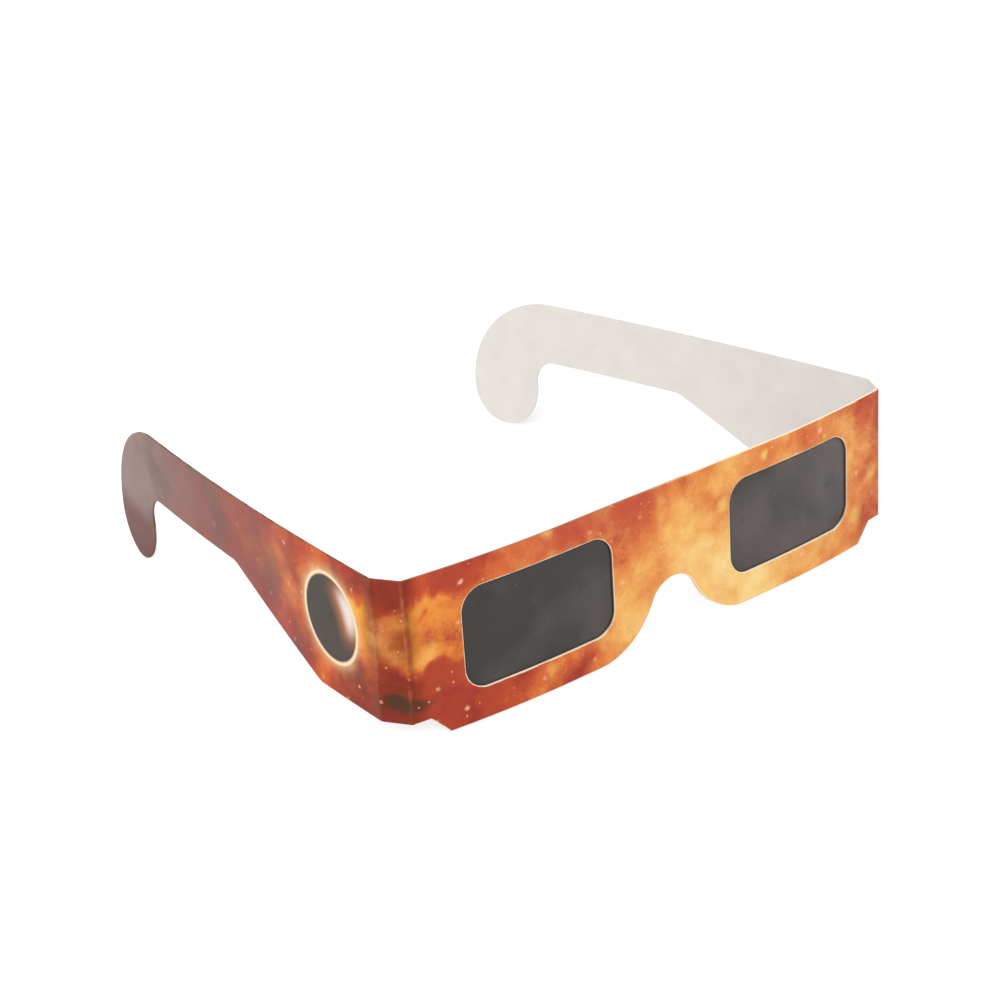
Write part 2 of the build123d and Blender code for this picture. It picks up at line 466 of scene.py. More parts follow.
def make_card(name, patches):
    """A closed sheet: the welded points, the same points on the bare side, and walls between.

    Its faces are marked for three finishes: the printed side, the bare side and the cut edge.
    """
    points, quads, triangles = weld(patches)
    count = len(points["outer"])
    edges = open_edges(quads, triangles)
    walls = np.stack([edges[:, 1], edges[:, 0], edges[:, 0] + count, edges[:, 1] + count], -1)
    faces = [*quads.tolist(), *triangles.tolist()]
    faces += [*(quads[:, ::-1] + count).tolist(), *(triangles[:, ::-1] + count).tolist()]
    faces += walls.tolist()
    mesh = bpy.data.meshes.new(name)
    both_sides = np.concatenate([points["outer"], points["inner"]]) * millimetre
    mesh.from_pydata(both_sides.tolist(), [], faces)
    side = len(quads) + len(triangles)
    mesh.polygons.foreach_set("material_index", np.repeat([0, 1, 2], [side, side, len(walls)]))
    mesh.polygons.foreach_set("use_smooth", np.ones(len(faces), bool))
    corner = np.empty(len(mesh.loops), np.int32)
    mesh.loops.foreach_get("vertex_index", corner)
    flat = points["flat"][corner % count] * millimetre
    mesh.uv_layers.new(name="sheet").data.foreach_set("uv", flat.astype(np.float32).ravel())
    inset = mesh.attributes.new("edge_distance", "FLOAT", "POINT")
    inset.data.foreach_set("value", np.tile(points["inset"][:, 0], 2).astype(np.float32))
    mesh.set_sharp_from_angle(angle=sharp_angle)
    made = bpy.data.objects.new(name, mesh)
    scene.collection.objects.link(made)
    print(f"{name}: {len(mesh.vertices)} points, {len(faces)} faces, {len(walls)} of them cut edge")
    return made


# %% [markdown]
# A cutting die presses the printed side down a little before it breaks through, so a real cut
# edge is faintly rounded and the ink cracks along it. A Bevel modifier would round both sides
# alike. Here lines of points laid close together at the edges give the rounding something to work
# on, and the middle of a panel needs only a few.

# %% Space the points between two edges
edge_steps = np.array([0, 0.07, 0.15, 0.3, 0.6])
fold_steps = np.append(fold_radius * np.pi / 2 * np.arange(6) / 5, 1.2)
roll_width, roll_depth = 0.32, 0.07
least_room = 2.5


def stations(length, near_steps, far_steps, count):
    """Distances along each length: given steps at both ends, even ones between.

    Where a length is under least_room times its two ends together, the ends shrink with it.
    """
    length = np.asarray(length, float)[..., None]
    ends = near_steps[..., -1:] + far_steps[..., -1:]
    shrink = np.minimum(1, length / (least_room * ends))
    start, end = near_steps * shrink, length - far_steps[..., ::-1] * shrink
    share = np.arange(1, count + 1) / (count + 1)
    between = start[..., -1:] + (end[..., :1] - start[..., -1:]) * share
    return np.concatenate([start, between, end], -1)


def rolled(distance):
    """How far the printed side sinks by a cut: the square of what is left of the roll's width."""
    return roll_depth * np.clip(1 - distance / roll_width, 0, 1) ** 2


print("steps at a cut edge", edge_steps, "steps round the bottom fold", fold_steps.round(2))

# %% [markdown]
# ## The front
# The front is one piece of card folded up along its bottom edge, so it is modelled that way: two
# layers and the half-round fold that joins them, in a single mesh. Its plan is straight across
# the nose and bows back towards the temples. A box bent with a modifier would give the bow, but
# not the fold.

# %% Place a point of the front
nose_top_height = nose_height - nose_top_radius
flare_radius = (nose_half**2 + nose_top_height**2 - nose_top_radius**2) / (2 * nose_height)
meeting_x = nose_top_radius * nose_half / np.hypot(nose_half, flare_radius - nose_top_height)


def front_place(x, station, layer, depth):
    """Point of the front: its plan is a line and then an arc, and its fold turns a half circle.

    The section angle is 0 on the outer layer and half a turn on the inner one. The fold runs
    between, and a point's depth is taken off the fold's radius.
    """
    side, beyond = np.sign(x), np.maximum(np.abs(x) - flat_half, 0)
    turned = np.arcsin(beyond / bow_radius)
    phase = np.clip((fold_radius - station) / fold_radius, 0, np.pi / 2)
    phase = np.where(layer > 0, np.pi - phase, phase)
    radius = fold_radius - depth
    back = fold_radius - radius * np.cos(phase)
    z = np.maximum(station, fold_radius) - radius * np.sin(phase)
    y = front_y + bow_radius * (1 - np.cos(turned)) + np.cos(turned) * back
    return np.stack([x - side * np.sin(turned) * back, y, z], -1)


def front_flat(x, station, layer):
    """Place on the flat sheet: length along the bow, and height.

    On the inner layer the height runs on below zero, past the length of the half circle.
    """
    beyond = np.maximum(np.abs(x) - flat_half, 0)
    along = np.minimum(np.abs(x), flat_half) + bow_radius * np.arcsin(beyond / bow_radius)
    turning = 2 * fold_radius * (1 - np.pi / 2)
    return np.stack([np.sign(x) * along, np.where(layer > 0, turning - station, station)], -1)


def lower_edge(x):
    """Height of the bottom outline: round nose top, flare, straight fold, slanted corner."""
    x = np.abs(x)
    top = nose_top_height + np.sqrt(np.maximum(nose_top_radius**2 - x**2, 0))
    flare = flare_radius - np.sqrt(np.maximum(flare_radius**2 - (nose_half - x) ** 2, 0))
    corner = np.clip((x - fold_half) / chamfer_run, 0, 1) * side_rise
    return np.where(x < meeting_x, top, np.where(x < nose_half, flare, corner))


def lower_station(x):
    """The bottom outline measured along the sheet, which turns under below the fold's start."""
    z = lower_edge(x)
    under = fold_radius * (1 - np.arcsin(np.clip(1 - z / fold_radius, 0, 1)))
    return np.where(z < fold_radius, under, z)


def steepness(x):
    """Length of the bottom outline for each step in x."""
    small = 1e-3
    return np.hypot(1, (lower_edge(x + small) - lower_edge(x - small)) / (2 * small))


print(f"nose flare radius {flare_radius:.2f}, top meets flare at {meeting_x:.2f}")

# %% [markdown]
# A window is a punched rectangle with round corners. A boolean cut would leave ragged faces round
# it, so the panel is laid out round the window instead. That needs two formulas: how far a point
# lies from the window's edge, and where the edge is at each share of the way round.

# %% Outline the windows
window_low, window_high, window_inner, window_outer = 7.1, 29.4, 16.956, 55.45
window_corner = 5.2
window_middle = np.array([window_inner + window_outer, window_low + window_high]) / 2
window_half = np.array([window_outer - window_inner, window_high - window_low]) / 2
straight_half = window_half - window_corner


def window_distance(x, z):
    """Distance outside a window: the length past its straight core, less the corner radius."""
    beyond = np.abs(np.stack([np.abs(x), z], -1) - window_middle) - straight_half
    outside = np.linalg.norm(np.maximum(beyond, 0), axis=-1)
    return outside + np.minimum(beyond.max(-1), 0) - window_corner


def window_loop(share):
    """Point on the window's edge: a share of 0 to 4 runs along the bottom, right, top and left.

    Each side is a line with an eighth of a circle at both ends, turned by a quarter turn a side.
    """
    side, share = np.divmod(share, 1.0)
    quarter = window_corner * np.pi / 4
    half = np.where(side % 2 == 0, straight_half[0], straight_half[1])
    out = np.where(side % 2 == 0, window_half[1], window_half[0])
    run = share * 2 * (half + quarter) - (half + quarter)
    bend = np.sign(run) * np.maximum(np.abs(run) - half, 0) / window_corner
    along = np.clip(run, -half, half) + window_corner * np.sin(bend)
    across = -(out - window_corner) - window_corner * np.cos(bend)
    sine, cosine = np.sin(side * np.pi / 2), np.cos(side * np.pi / 2)
    turned = [along * cosine - across * sine, along * sine + across * cosine]
    return np.stack(turned, -1) + window_middle


print("windows", 2 * window_half, "mm, with corners of", window_corner)

# %% [markdown]
# Each window needs lines of points that follow its rounded corners, or the corners would look
# chopped. So the area round a window is a ring of rays from the window to a rectangle round it.
# The nose and the two ends are plain columns between the bottom outline and the top edge. Shared
# columns use the same spacing, so neighbouring patches meet point to point.

# %% Lay out the front
nose_zone = 14.0
back_top_inset, back_side_inset, back_corner = 0.3, 2.0, 1.5
layer_end = {0: front_end, 1: crease_half - back_side_inset}
column_steps, ray_steps = 22, 9
nose_columns, flare_columns, fold_columns, end_columns = 61, 18, 46, 12
foot_steps = np.array([0, 0.02, 0.06, 0.13, 0.22, 0.35, 0.5, 0.66])


def upper_edge(x, layer):
    """Height of the top edge; the inner layer stops lower and has rounded ends."""
    over = np.clip(np.abs(x) - (layer_end[1] - back_corner), 0, back_corner)
    inner = front_height - back_top_inset - back_corner + np.sqrt(back_corner**2 - over**2)
    return np.where(layer > 0, inner, front_height)


def columns(x, layer):
    """Columns of points from the bottom outline to the top edge, wider set where it is steep."""
    low = lower_station(x)
    near_fold = fold_steps * steepness(x)[:, None]
    steps = stations(upper_edge(x, layer) - low, near_fold, edge_steps, column_steps)
    return np.stack([np.broadcast_to(x[:, None], steps.shape), low[:, None] + steps], -1)


def rise(column):
    """How far up a column each of its points is, from 0 to 1."""
    return (column[:, 1] - column[0, 1]) / (column[-1, 1] - column[0, 1])


def window_ring(layer):
    """Rays from the window's edge to a frame of bottom outline, end column, top and nose column."""
    flare_x = np.linspace(nose_zone, nose_half, flare_columns)
    x = np.concatenate([flare_x, np.linspace(nose_half, fold_half, fold_columns)[1:]])
    bottom = np.stack([x, lower_station(x)], -1)
    end, nose = columns(x[[-1, 0]], layer)
    top = np.stack([x[::-1], upper_edge(x[::-1], layer)], -1)
    outer = np.concatenate([bottom[:-1], end[:-1], top[:-1], nose[::-1]])
    across = (x - nose_zone) / (fold_half - nose_zone)
    share = [across[:-1], 1 + rise(end)[:-1], (3 - across[::-1])[:-1], 4 - rise(nose)[::-1]]
    share = np.concatenate(share)
    inner = window_loop(np.where(share == 4, 0, share))
    ray = outer - inner
    length = np.linalg.norm(ray, axis=-1)
    steps = stations(length, edge_steps, fold_steps, ray_steps)
    return inner[:, None] + ray[:, None] * (steps / length[:, None])[..., None]


def end_zone(layer):
    """Columns from the window's zone to the layer's end, close at the slant and the rounded end."""
    foot = fold_half + foot_steps
    slant = np.linspace(foot[-1], fold_half + chamfer_run, end_columns)[1:]
    rest = layer_end[layer] - slant[-1]
    last = slant[-1] + rest * np.sin(np.linspace(0, np.pi / 2, end_columns))[1:]
    return columns(np.concatenate([foot, slant, last]), layer)


print("the window's zone runs from", nose_zone, "to", fold_half, "mm beside the middle")

# %% [markdown]
# Each grid now gets its two sides of card. The outer side sinks towards every cut, but not
# towards the fold, where the sheet runs on. The wearer's right half is the mirror image of the
# left one.

# %% Make the front sheet
far_away = 9.0
nose_cut_fade, corner_cut_fade = 0.6, 0.3


def front_patch(grid, layer, side):
    """Both sides of one patch of the front, sunk a little along every edge that the die has cut.

    The bottom outline counts as cut in the nose and past the fold's end, and fades in at both.
    """
    x, station = grid[..., 0], grid[..., 1]
    from_top = upper_edge(x, layer) - station
    nose_cut = np.clip((nose_half - np.abs(x)) / nose_cut_fade, 0, 1)
    cut = nose_cut + np.clip((np.abs(x) - fold_half) / corner_cut_fade, 0, 1)
    from_bottom = np.where(cut > 0, (station - lower_station(x)) / steepness(x), far_away)
    from_window = np.maximum(window_distance(x, station), 0)
    from_end = np.where(layer > 0, layer_end[1] - np.abs(x), far_away)
    others = np.minimum(np.minimum(from_top, from_window), from_end)
    sunk = np.maximum(rolled(others), rolled(from_bottom) * cut)
    x = x * side
    return {
        "outer": front_place(x, station, layer, sunk),
        "inner": front_place(x, station, layer, np.full_like(x, card)),
        "flat": front_flat(x, station, layer),
        "inset": np.clip(np.minimum(others, from_bottom), 0, far_away)[..., None],
    }


nose_x = np.linspace(-nose_zone, nose_zone, nose_columns)
front_patches = [front_patch(columns(nose_x, layer), layer, 1) for layer in (0, 1)]
front_patches += [
    front_patch(zone(layer), layer, side)
    for layer in (0, 1)
    for side in sides.values()
    for zone in (window_ring, end_zone)
]
print("front patches", [patch["flat"].shape[:2] for patch in front_patches])
front_sheet = make_card("front_sheet", front_patches)
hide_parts("front_card", "back_card", "left_bottom_fold", "right_bottom_fold")
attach(front_sheet, "front")

# %% [markdown]
# ## The filter films
# Each film is a stiff black polymer, held flat at its rim by the adhesive and free inside the
# window. A perfectly flat plane would mirror the studio like a screen. Real film sags and ripples
# by a tenth of a millimetre, and that is all it takes to break a reflection up, so the ripple is
# in the mesh.

# %% Make the films
film_margin, film_columns, film_rows = 3.5, 75, 49
ripple_depth, ripple_fade = 0.11, 3.5
wave_x, wave_z, drift_x, drift_z = 3.9, 4.3, 9.7, 6.1


def ripple(x, z):
    """Depth of the film's ripple: two slow crossed waves, fading out towards the window's edge."""
    free = np.clip(-window_distance(x, z) / ripple_fade, 0, 1)
    waves = np.sin(x / wave_x + np.sin(z / drift_z)) + np.sin(z / wave_z + x / drift_x + 1.0)
    return ripple_depth * free**2 * (3 - 2 * free) * waves / 2


def film_patch(side):
    """Both sides of one film: the front's own bow at the film's depth, with the ripple added."""
    low, high = window_middle - window_half - film_margin, window_middle + window_half + film_margin
    x, z = np.linspace(low[0], high[0], film_columns), np.linspace(low[1], high[1], film_rows)
    x, z = np.meshgrid(x, z, indexing="ij")
    front_side = card + ripple(x * side, z)
    return {
        "outer": front_place(x * side, z, 0, front_side),
        "inner": front_place(x * side, z, 0, front_side + film),
        "flat": front_flat(x * side, z, 0),
        "inset": np.maximum(-window_distance(x, z), 0)[..., None],
    }


films = {}
for name, side in sides.items():
    films[name] = make_card(f"{name}_film", [film_patch(side)])
    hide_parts(f"{name}_filter_film")
    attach(films[name], "front")

# %% [markdown]
# ## Creases and corner strips
# Between the front and each temple runs a narrow strip with a scored crease on both of its edges.
# The crease is where the card bends in use, so it isn't left to two plates that meet in a hinge.
# It is a small curved strip of its own, shaped as it lies between the two bodies it joins: a line,
# an arc round the joint's axis and a line again. A scoring rule presses the line in, and along the
# middle of the pressed band the fold pushes a ridge back up, no higher than the card beside it.

# %% Shape a crease and a strip
temple_heading = np.radians(93.6)
strip_heading = np.arctan2(*(rear_crease - front_crease)[::-1])
strip_steps, strip_columns, leg_points, arc_points = 20, 9, 11, 9
strip_stations = side_rise + stations(front_height - side_rise, edge_steps, edge_steps, strip_steps)
front_crease_u = flat_half + bow_radius * bow_turn + crease_gap
rear_crease_u = front_crease_u + strip_width
ridge_height, ridge_width, press_run = 0.045, 0.15, 0.14
groove_depth, groove_width, groove_place = 0.025, 0.09, 0.26


def bearing(angle):
    """Unit vectors in the plan for an angle or an array of angles."""
    return np.stack([np.cos(angle), np.sin(angle)], -1)


def standing(plan, z, side):
    """Points of a plan lifted to their heights, and mirrored for the right side."""
    return np.concatenate([plan, z[..., None]], -1) * [side, 1, 1]


def upright_patch(side, outer_plan, inner_plan, sink_towards, u):
    """A patch that stands upright: each plan point at each height, sunk at the top and bottom."""
    u, z = np.meshgrid(u, strip_stations, indexing="ij")
    from_edge = np.minimum(z - side_rise, front_height - z)
    outer_plan = outer_plan[:, None] + sink_towards[:, None] * rolled(from_edge)[..., None]
    inner_plan = np.broadcast_to(inner_plan[:, None], outer_plan.shape)
    return {
        "outer": standing(outer_plan, z, side),
        "inner": standing(inner_plan, z, side),
        "flat": np.stack([u * side, z], -1),
        "inset": from_edge[..., None],
    }


def crease_patch(side, axis, before, after, middle_u):
    """A bent strip: outside a line, an arc of half the card's thickness round the axis, a line.

    The pressed band is an S-shaped step down at both ends. The ridge on it and the groove beside it
    are bell curves. The inner side is a parabola between the panels' inner sides.
    """
    leg = np.linspace(-crease_gap, 0, leg_points)
    run = np.concatenate([leg, np.zeros(arc_points), -leg[::-1]])
    turning = np.linspace(before, after, arc_points + 2)[1:-1]
    angles = np.full_like(leg, before), turning, np.full_like(leg, after)
    facing = np.concatenate(angles) - np.pi / 2
    place = run + card / 2 * (facing - (before + after - np.pi) / 2)
    pressed = np.clip((np.abs(place).max() - np.abs(place)) / press_run, 0, 1)
    relief = ridge_height * (np.exp(-((place / ridge_width) ** 2)) - pressed**2 * (3 - 2 * pressed))
    relief -= groove_depth * np.exp(-(((place + groove_place) / groove_width) ** 2))
    towards = np.where(run[:, None] < 0, bearing(before), bearing(after)) * run[:, None]
    outer = axis + towards + (card / 2 + relief)[:, None] * bearing(facing)
    first = axis - crease_gap * bearing(before) - card / 2 * bearing(before - np.pi / 2)
    last = axis + crease_gap * bearing(after) - card / 2 * bearing(after - np.pi / 2)
    middle = axis - card / 2 / np.cos((after - before) / 2) * bearing((before + after - np.pi) / 2)
    share = np.linspace(0, 1, len(run))[:, None]
    inner = (1 - share) ** 2 * first + 2 * share * (1 - share) * middle + share**2 * last
    u = middle_u + place * crease_gap / np.abs(place).max()
    return upright_patch(side, outer, inner, -bearing(facing), u)


def strip_patch(side):
    """The flat strip: both faces half a thickness off the line that joins the creases' axes."""
    run = np.linspace(crease_gap, strip_width - crease_gap, strip_columns)
    middle = front_crease + run[:, None] * bearing(strip_heading)
    outwards = np.broadcast_to(bearing(strip_heading - np.pi / 2), middle.shape)
    outer, inner = middle + card / 2 * outwards, middle - card / 2 * outwards
    return upright_patch(side, outer, inner, -outwards, front_crease_u + run)


print(f"creases at {front_crease_u:.2f} and {rear_crease_u:.2f} mm along the sheet")

# %% [markdown]
# A crease piece that rode on one body would tear away from the other one. Each stays where it is
# built, between the body before it and the body behind it.

# %% Make creases and strips


def blend_across(piece, side, axis, before, after):
    """Works out where a piece's two long edges lie in plan, which nothing then uses, and bakes the
    piece's transform into its mesh.
    """
    direction = bearing((before + after) / 2)
    half = crease_gap * np.cos((after - before) / 2) - card / 2 * np.sin((after - before) / 2)
    plans = [(axis + way * half * direction) * [side, 1] for way in (-1, 1)]
    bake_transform(piece)


printed_pieces = [front_sheet]
for name, side in sides.items():
    corner, rear = f"{name}_corner", f"{name}_side"
    front_turn = (front_crease, bow_turn, strip_heading, front_crease_u, "front", corner)
    temple_turn = (rear_crease, strip_heading, temple_heading, rear_crease_u, corner, rear)
    turns = {"front_crease": front_turn, "temple_crease": temple_turn}
    for part_name, (axis, before, after, middle_u, body_a, body_b) in turns.items():
        patch = crease_patch(side, axis, before, after, middle_u)
        crease = make_card(f"{name}_{part_name}_bend", [patch])
        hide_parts(f"{name}_{part_name}")
        blend_across(crease, side, axis, before, after)
        printed_pieces.append(crease)
    strip = make_card(f"{name}_strip", [strip_patch(side)])
    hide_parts(f"{name}_corner_strip")
    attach(strip, f"{name}_corner")
    printed_pieces.append(strip)

# %% [markdown]
# ## The temples
# A temple is cut in outline like the blade of a saw: a deep root at the crease, a long slanted
# underside, a straight arm, and a hook for the ear. A traced curve could give that outline, but
# straight lines, round knees and quarter ellipses give it with a few sizes that can be changed.

# %% Outline a temple
temple_length, temple_bow_radius = 124.6, 880.0
underside_height, slope_start, slope_end, knee_radius = 19.6, 22.8, 57.0, 6.0
hook_width, hook_tip_width, hook_shoulder, hook_back_height = 21.3, 9.9, 26.8, 9.8
notch_radius, notch_run = 6.0, 0.9
curve_points = 60
slope_angle = np.arctan2(underside_height - side_rise, slope_end - slope_start)
knee_reach = knee_radius * np.tan(slope_angle / 2)


def underside(s):
    """Lower edge of root, slope and arm: three straight lines with a round knee at each corner."""
    low_centre, high_centre = slope_start - knee_reach, slope_end + knee_reach
    bend = knee_radius * np.sin(slope_angle)
    low_sag = np.sqrt(np.maximum(knee_radius**2 - (s - low_centre) ** 2, 0))
    high_sag = np.sqrt(np.maximum(knee_radius**2 - (s - high_centre) ** 2, 0))
    low_knee = side_rise + knee_radius - low_sag
    high_knee = underside_height - knee_radius + high_sag
    slope = side_rise + (s - slope_start) * np.tan(slope_angle)
    limits = [s < low_centre, s < low_centre + bend, s < high_centre - bend, s < high_centre]
    return np.select(limits, [side_rise, low_knee, slope, high_knee], underside_height)


def at_share(line, share):
    """Points at given shares of a line's length, each coordinate read against running length."""
    length = np.append(0, np.cumsum(np.linalg.norm(np.diff(line, axis=0), axis=1)))
    return np.stack([np.interp(share * length[-1], length, line[:, k]) for k in (0, 1)], -1)


def hook_edges(count):
    """Inner and outer edge of the hook: quarter circles and ellipses that meet at the tip."""
    quarter = np.linspace(0, np.pi / 2, curve_points)
    sine, cosine = np.sin(quarter), np.cos(quarter)
    front_s = temple_length - hook_width
    tip_s = temple_length - hook_tip_width
    shoulder_s = temple_length - hook_shoulder
    notch_s, notch_z = front_s - notch_radius, underside_height - notch_radius
    throat_z = notch_z - notch_run
    notch = np.stack([notch_s + notch_radius * sine, notch_z + notch_radius * cosine], -1)
    belly = np.stack([tip_s - (tip_s - front_s) * cosine, throat_z * (1 - sine)], -1)
    crown_z = hook_back_height + (front_height - hook_back_height) * cosine
    crown = np.stack([shoulder_s + hook_shoulder * sine, crown_z], -1)
    heel = np.stack([tip_s + hook_tip_width * cosine, hook_back_height * (1 - sine)], -1)
    outer = np.concatenate([[[notch_s, front_height]], crown, heel])
    share = np.linspace(0, 1, count)
    return at_share(np.concatenate([notch, belly]), share), at_share(outer, share)


print(f"the slope climbs at {np.degrees(slope_angle):.1f} degrees")

# %% [markdown]
# Behind the notch the outline turns right round on itself, so one column of points can't cross
# it. The arm is made of upright columns, and the hook of rays from its inner edge to its outer
# edge that fan round until they close at the tip. Then every point is laid on the temple's slight
# bow.

# %% Make the temples
temple_ray_steps, hook_rays, arm_columns = 14, 72, (18, 9, 26, 9, 30)
least_slant = 0.35
chord_heading = temple_heading + temple_length / temple_bow_radius / 2
bow_start = rear_crease + crease_gap * bearing(temple_heading)
bow_centre = bow_start + temple_bow_radius * bearing(temple_heading + np.pi / 2)
centre_along = (bow_centre - rear_crease) @ bearing(chord_heading)
root = centre_along + temple_bow_radius * np.cos(temple_heading - np.pi / 2 - chord_heading)


def rays(inner, outer):
    """Grid between two edges, and each point's distance to the nearer one, square to that edge.

    A ray that meets an edge at a slant is longer than the distance it covers, by the sine of the
    angle between them, so its steps are longer too.
    """
    ray = outer - inner
    length = np.linalg.norm(ray, axis=-1)
    unit = ray / np.maximum(length, 1e-9)[:, None]
    slants = []
    for edge in (inner, outer):
        tangent = np.gradient(edge, axis=0)
        tangent /= np.linalg.norm(tangent, axis=-1, keepdims=True)
        sine = np.abs(unit[:, 0] * tangent[:, 1] - unit[:, 1] * tangent[:, 0])
        slants.append(np.maximum(sine, least_slant)[:, None])
    steps = stations(length, edge_steps / slants[0], edge_steps / slants[1], temple_ray_steps)
    grid = inner[:, None] + unit[:, None] * steps[..., None]
    return grid, np.minimum(steps * slants[0], (length[:, None] - steps) * slants[1])


def temple_patch(grid, from_edge, side):
    """Places outline points on the temple's bow: the place along its chord gives the angle."""
    s, z = grid[..., 0], grid[..., 1]
    angle = chord_heading - np.arccos((s - centre_along) / temple_bow_radius)
    u = rear_crease_u + crease_gap + temple_bow_radius * (angle - temple_heading + np.pi / 2)
    outer_radius = temple_bow_radius + card / 2
    sunk = rolled(from_edge)[..., None]
    outer = bow_centre + (outer_radius - sunk) * bearing(angle)
    inner = bow_centre + (outer_radius - card) * bearing(angle)
    return {
        "outer": standing(outer, z, side),
        "inner": standing(inner, z, side),
        "flat": np.stack([u * side, z], -1),
        "inset": from_edge[..., None],
    }


knee_ends = [knee + way * knee_reach for knee in (slope_start, slope_end) for way in (-1, 1)]
stops = [root, *knee_ends, temple_length - hook_width - notch_radius]
runs = [np.linspace(a, b, count)[:-1] for a, b, count in zip(stops, stops[1:], arm_columns)]
arm_s = np.concatenate([*runs, stops[-1:]])
top_edge = np.stack([arm_s, np.full_like(arm_s, front_height)], -1)
arm = rays(np.stack([arm_s, underside(arm_s)], -1), top_edge)
hook = rays(*hook_edges(hook_rays))
for name, side in sides.items():
    temple = make_card(f"{name}_temple_card", [temple_patch(*arm, side), temple_patch(*hook, side)])
    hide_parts(f"{name}_temple")
    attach(temple, f"{name}_side")
    printed_pieces.append(temple)

# %% [markdown]
# ## The print
# The card carries a glowing cloud pattern: amber over the nose, orange and red towards the corners
# and a dusky mauve at the ear hooks, with small bright specks. The mauve is partly print and partly
# a painted sheen. An image would be the usual way, but a procedural print has no pixels to run out
# of and follows the flat sheet over every fold. It is made as heat is: one number says how hot each
# place is, and one scale of colours turns that into ink. The number is a slow rise towards the
# nose, cloudy noise, and cooler bands above and below each corner. It runs higher on the wearer's
# left half, partly as print and partly as a painted sheen.

# %% Mix the print's clouds
ink_scale = [
    (0.0, from_srgb(72, 40, 32)),
    (0.14, from_srgb(112, 38, 33)),
    (0.28, from_srgb(152, 52, 40)),
    (0.42, from_srgb(193, 79, 48)),
    (0.55, from_srgb(216, 111, 57)),
    (0.68, from_srgb(233, 149, 80)),
    (0.8, from_srgb(244, 182, 101)),
    (1.0, from_srgb(252, 218, 146)),
]
sheet_half = 200
# The heat runs higher on the wearer's left half: partly print, partly a painted sheen.
heat_along = [(-200, 0.36), (-150, 0.38), (-110, 0.42), (-85, 0.49), (-62, 0.49), (-30, 0.56)]
heat_along += [(-12, 0.7), (8, 0.85), (34, 0.81), (52, 0.67), (68, 0.56), (100, 0.46)]
heat_along += [(150, 0.38), (200, 0.36)]
nose_span, corner_span = (-28.0, -6.0, 20.0, 62.0), (-98.0, -80.0, -66.0, -38.0)
right_of_nose, past_strip = (-6.0, -24.0), (-70.0, -63.0)
band_middle, band_edge = 22.5, (4.5, 9.5)


def stirred(place, scale, size):
    """Place moved by slow coloured noise less one half, times a size: a pattern there swirls."""
    inputs = {"Vector": place, "Scale": scale, "Detail": 2.0}
    noise = Signal(add_node(place.tree, "ShaderNodeTexNoise", inputs), "Color")
    inputs = {0: noise, 1: (0.5, 0.5, 0.5)}
    push = Signal(add_node(place.tree, "ShaderNodeVectorMath", inputs, operation="SUBTRACT"))
    inputs = {0: push, 1: (size, size, size), 2: place}
    return Signal(add_node(place.tree, "ShaderNodeVectorMath", inputs, operation="MULTIPLY_ADD"))


def blotches(place, scale):
    """Soft round patches, as of wet ink: the smoothed distance to the nearest scattered point."""
    inputs = {"Vector": place, "Scale": scale, "Smoothness": 0.6}
    cells = add_node(place.tree, "ShaderNodeTexVoronoi", inputs, feature="SMOOTH_F1")
    return Signal(cells, "Distance")


def cloud_heat(place, u, v):
    """Heat of the print: its slow rise along the sheet, plus clouds of four sizes.

    It is then changed by height: hotter low down by the nose and high up right of it, and cooler in
    ragged bands above and below the right corner. A soft maximum keeps it from going too dark.
    """
    whole = 2 * sheet_half
    stops = [((at + sheet_half) / whole, (level, level, level, 1.0)) for at, level in heat_along]
    drifted = u + sway(place, 0.05, 36.0, detail=2.0)
    heat = colour_scale(drifted / whole + 0.5, stops)
    swirl = stirred(place, 0.07, 16.0)
    heat = heat + sway(swirl, 0.065, 0.8, detail=4.0)
    heat = heat - (blotches(stirred(place, 0.3, 4.0), 0.26) - 0.5) * 0.12
    heat = heat + sway(swirl, 0.4, 0.16, detail=5.0, roughness=0.6)
    heat = heat + sway(place, 1.5, 0.15, roughness=0.6)
    nose, right = span(u, *nose_span), smooth_step(u, *right_of_nose)
    heat = heat + (smooth_step(v, 34.0, 4.0) - 0.55) * nose * 0.22
    heat = heat + (smooth_step(v, 2.0, 32.0) - 0.55) * right * 0.1
    band = smooth_step(abs(v - band_middle) + sway(swirl, 0.12, 11.0, detail=5.0), *band_edge)
    corner = span(u, *corner_span)
    heat = heat + corner * 0.14 - band * (corner * 0.36 + 0.03)
    lowest = smooth_step(u, *past_strip) * 0.18 + 0.17
    return compute("SMOOTH_MAX", heat, lowest, 0.16)


print("ink scale has", len(ink_scale), "colours")

# %% [markdown]
# A print like this has more than one hue at the same heat. Thinner inks go over the clouds, each
# where its own soft mask says: wine in the cooler clouds and high up beside the nose, amber at the
# right corner, ochre on the strip, and a few dark knots low down. A brown laid over the right strip
# is painted shade.

# %% Add the thinner inks
wine, amber, rosy_wine = (146, 36, 46), (238, 158, 50), (186, 66, 58)
ochre, strip_shade, knot_brown = (150, 62, 20), (112, 36, 24), (66, 52, 34)
corner_u, strip_u, knot_v = -60.0, -72.0, 9.5
knot_span, rosy_span = (-84.0, -76.0, -68.0, -60.0), (-48.0, -30.0, -10.0, 4.0)
before_disc, behind_disc, high_up = (76.0, 72.0), (96.0, 108.0), (25.0, 33.0)


def knots(place, u, v):
    """How much of a dark knot lies at a point: peaks of a coarse cloud, low by the right corner."""
    low = near(v, knot_v, 4.0, 1.5) * span(u, *knot_span)
    shifted = mapped(place, Location=(-6, 0, 0), Scale=(0.7, 1.5, 1))
    return smooth_step(cloud(shifted, 0.13, detail=5.0), 0.45, 0.58) * low


